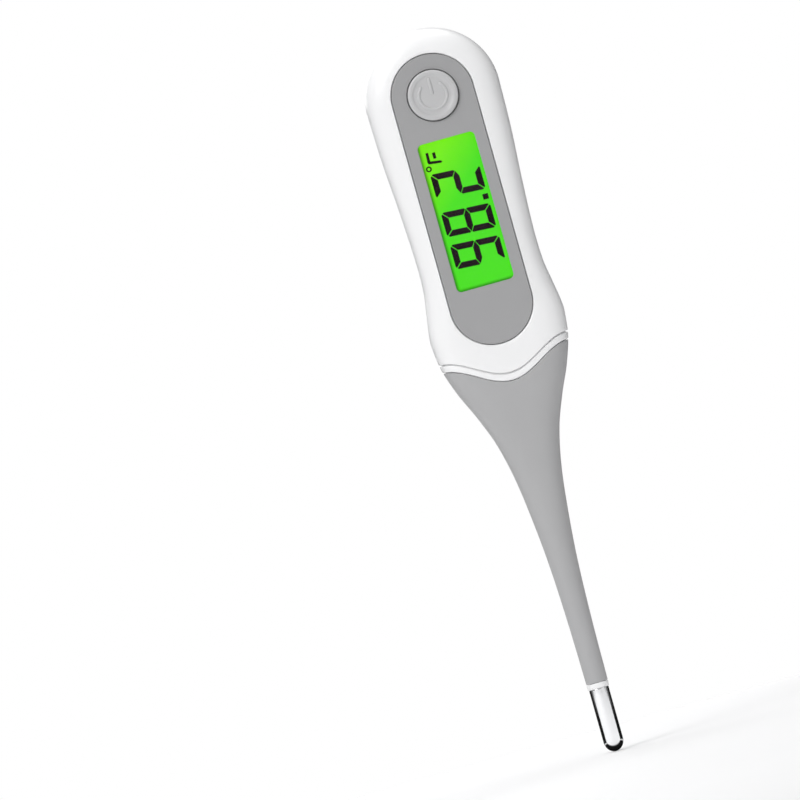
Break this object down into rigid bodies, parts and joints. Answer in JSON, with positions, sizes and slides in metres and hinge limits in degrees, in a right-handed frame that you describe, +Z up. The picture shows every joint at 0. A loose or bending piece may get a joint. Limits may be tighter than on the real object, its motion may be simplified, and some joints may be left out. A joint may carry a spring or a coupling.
{
  "type": "digital thermometer",
  "caption": "Hand-held digital thermometer: backlit display and power button in a white split case, soft tapering stem that bends, steel probe tip, battery door on the back.",
  "frame": {"origin": "middle of the case at its waist, where finger and thumb grip it", "axes": "+Z runs up the long axis from the steel tip to the round head, +X is the width, the display faces -Y"},
  "size_m": [0.0254, 0.0141, 0.138],
  "materials": {
    "white_plastic": "satin moulded white plastic",
    "grey_plastic": "fine matte grey plastic",
    "light_grey_plastic": "satin light grey plastic",
    "soft_grey_rubber": "soft-touch grey rubber",
    "polished_steel": "polished stainless steel",
    "nickel_spring": "plated spring strip",
    "clear_plastic": "clear plastic",
    "lcd_glass": "display glass lit green from behind",
    "circuit_board": "solder-masked board",
    "black_epoxy": "black epoxy and moulded black plastic",
    "switch_plunger": "moulded plastic",
    "led_resin": "cast resin",
    "ceramic": "fired ceramic",
    "black_rubber": "moulded rubber"
  },
  "bodies": {
    "housing": {"front_shell": "white_plastic", "back_shell": "white_plastic", "face_panel": "grey_plastic", "display_window": "clear_plastic", "lcd_front_glass": "lcd_glass", "lcd_rear_glass": "lcd_glass", "lcd_frame": "white_plastic", "light_guide": "clear_plastic", "backlight_led_left": "led_resin", "backlight_led_middle": "led_resin", "backlight_led_right": "led_resin", "elastomer_connector": "black_rubber", "circuit_board": "circuit_board", "controller_blob": "black_epoxy", "buzzer": "black_epoxy", "chip_resistor_left": "black_epoxy", "chip_resistor_right": "black_epoxy", "chip_capacitor": "ceramic", "tactile_switch": "black_epoxy", "battery_tray": "black_epoxy", "coin_battery": "polished_steel", "positive_contact": "nickel_spring", "negative_contact": "nickel_spring", "case_screw_left": "polished_steel", "case_screw_right": "polished_steel", "case_seal": "black_rubber", "collar_ring": "white_plastic", "stem_root": "soft_grey_rubber", "sensor_lead": "black_rubber"},
    "button": {"button_cap": "light_grey_plastic", "switch_plunger": "switch_plunger"},
    "battery_door": {"battery_door": "white_plastic"},
    "door_screw": {"door_screw": "polished_steel"},
    "stem_1": {"stem_segment_1": "soft_grey_rubber"},
    "stem_2": {"stem_segment_2": "soft_grey_rubber"},
    "stem_3": {"stem_segment_3": "soft_grey_rubber"},
    "stem_4": {"stem_segment_4": "soft_grey_rubber"},
    "stem_5": {"stem_segment_5": "soft_grey_rubber"},
    "stem_6": {"stem_segment_6": "soft_grey_rubber"},
    "stem_7": {"stem_segment_7": "soft_grey_rubber"},
    "probe_end": {"stem_end": "soft_grey_rubber", "seal_ring": "white_plastic", "probe_tip": "polished_steel", "thermistor_bead": "black_epoxy"}
  },
  "joints": [
    {"name": "button_press", "type": "slide", "parent": "housing", "child": "button", "axis": [0, 1, 0], "range_m": [0, 0.0004], "stiffness_N_per_m": 900},
    {"name": "door_lift", "type": "slide", "parent": "housing", "child": "battery_door", "axis": [0, 1, 0], "range_m": [0, 0.014]},
    {"name": "door_screw_turn", "type": "hinge", "parent": "battery_door", "child": "door_screw", "pos_m": [0, 0.0067, 0.03652], "axis": [0, 1, 0], "continuous": true},
    {"name": "bend_side_1", "type": "hinge", "parent": "housing", "child": "stem_1", "pos_m": [0, 0, -0.0551], "axis": [0, 1, 0], "range_deg": [-12.5, 12.5], "stiffness_Nm_per_rad": 0.005, "deforming": ["sensor_lead"]},
    {"name": "bend_front_1", "type": "hinge", "parent": "stem_1", "child": "stem_2", "pos_m": [0, 0, -0.0581], "axis": [1, 0, 0], "range_deg": [-12.5, 12.5], "stiffness_Nm_per_rad": 0.005},
    {"name": "bend_side_2", "type": "hinge", "parent": "stem_2", "child": "stem_3", "pos_m": [0, 0, -0.0611], "axis": [0, 1, 0], "range_deg": [-12.5, 12.5], "stiffness_Nm_per_rad": 0.005},
    {"name": "bend_front_2", "type": "hinge", "parent": "stem_3", "child": "stem_4", "pos_m": [0, 0, -0.0641], "axis": [1, 0, 0], "range_deg": [-12.5, 12.5], "stiffness_Nm_per_rad": 0.005},
    {"name": "bend_side_3", "type": "hinge", "parent": "stem_4", "child": "stem_5", "pos_m": [0, 0, -0.0671], "axis": [0, 1, 0], "range_deg": [-12.5, 12.5], "stiffness_Nm_per_rad": 0.005},
    {"name": "bend_front_3", "type": "hinge", "parent": "stem_5", "child": "stem_6", "pos_m": [0, 0, -0.0701], "axis": [1, 0, 0], "range_deg": [-12.5, 12.5], "stiffness_Nm_per_rad": 0.005},
    {"name": "bend_side_4", "type": "hinge", "parent": "stem_6", "child": "stem_7", "pos_m": [0, 0, -0.0731], "axis": [0, 1, 0], "range_deg": [-12.5, 12.5], "stiffness_Nm_per_rad": 0.005},
    {"name": "bend_front_4", "type": "hinge", "parent": "stem_7", "child": "probe_end", "pos_m": [0, 0, -0.0761], "axis": [1, 0, 0], "range_deg": [-12.5, 12.5], "stiffness_Nm_per_rad": 0.005}
  ],
  "couplings": [
    {"joint": "bend_side_2", "follows": "bend_side_1", "ratio": 1},
    {"joint": "bend_front_2", "follows": "bend_front_1", "ratio": 1},
    {"joint": "bend_side_3", "follows": "bend_side_1", "ratio": 1},
    {"joint": "bend_front_3", "follows": "bend_front_1", "ratio": 1},
    {"joint": "bend_side_4", "follows": "bend_side_1", "ratio": 1},
    {"joint": "bend_front_4", "follows": "bend_front_1", "ratio": 1}
  ]
}
